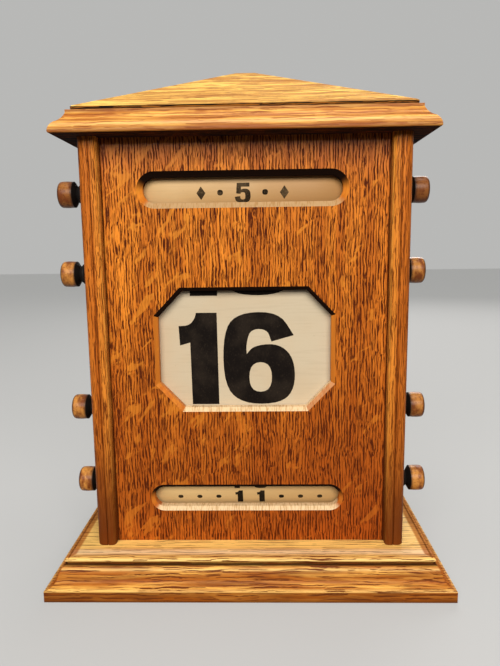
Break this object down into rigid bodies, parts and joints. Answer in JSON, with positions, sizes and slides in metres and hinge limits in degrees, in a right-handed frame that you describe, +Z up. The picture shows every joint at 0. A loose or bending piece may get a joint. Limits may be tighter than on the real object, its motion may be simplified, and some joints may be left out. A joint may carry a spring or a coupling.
{
  "type": "perpetual desk calendar",
  "caption": "Wooden perpetual desk calendar with a hipped roof: weekday, date and month show in windows and are set by side knobs.",
  "frame": {"origin": "centre of the base's underside", "axes": "+Z up, -Y out of the front with the windows, +X towards the right-hand knobs seen from the front"},
  "size_m": [0.2284, 0.1284, 0.2944],
  "materials": {
    "case_oak": "polished",
    "panel_oak": "polished",
    "back_oak": "matt",
    "inner_wood": "matt",
    "spindle_wood": "satin",
    "knob_wood": "polished",
    "printed_linen": "matt",
    "screw_brass": "dull"
  },
  "bodies": {
    "case": {"base_lower_board": "case_oak", "base_upper_board": "case_oak", "left_side_board": "case_oak", "right_side_board": "case_oak", "front_panel": "panel_oak", "back_panel": "back_oak", "cornice_board": "case_oak", "roof_block": "case_oak", "glue_blocks": "inner_wood", "base_screws": "screw_brass", "cornice_screws": "screw_brass", "back_screws": "screw_brass", "date_platen": "inner_wood", "platen_strips": "inner_wood", "date_linen_span": "printed_linen"},
    "day_roller": {"day_spindle": "spindle_wood", "day_drum": "inner_wood", "day_band": "printed_linen", "day_knob_left": "knob_wood", "day_knob_right": "knob_wood"},
    "date_upper_roller": {"date_upper_spindle": "spindle_wood", "date_upper_linen_roll": "printed_linen", "date_upper_knob_left": "knob_wood", "date_upper_knob_right": "knob_wood"},
    "date_lower_roller": {"date_lower_spindle": "spindle_wood", "date_lower_linen_roll": "printed_linen", "date_lower_knob_left": "knob_wood", "date_lower_knob_right": "knob_wood"},
    "month_roller": {"month_spindle": "spindle_wood", "month_drum": "inner_wood", "month_band": "printed_linen", "month_knob_left": "knob_wood", "month_knob_right": "knob_wood"}
  },
  "joints": [
    {"name": "day_roller_turn", "type": "hinge", "parent": "case", "child": "day_roller", "pos_m": [0, -0.0087, 0.226], "axis": [1, 0, 0], "continuous": true},
    {"name": "date_upper_roller_turn", "type": "hinge", "parent": "case", "child": "date_upper_roller", "pos_m": [0, -0.0087, 0.1792], "axis": [1, 0, 0], "range_deg": [-5940, 5940]},
    {"name": "date_lower_roller_turn", "type": "hinge", "parent": "case", "child": "date_lower_roller", "pos_m": [0, -0.0087, 0.0967], "axis": [1, 0, 0], "range_deg": [-5940, 5940]},
    {"name": "month_roller_turn", "type": "hinge", "parent": "case", "child": "month_roller", "pos_m": [0, -0.0087, 0.0493], "axis": [1, 0, 0], "continuous": true}
  ],
  "couplings": [
    {"joint": "date_lower_roller_turn", "follows": "date_upper_roller_turn", "ratio": 1}
  ]
}
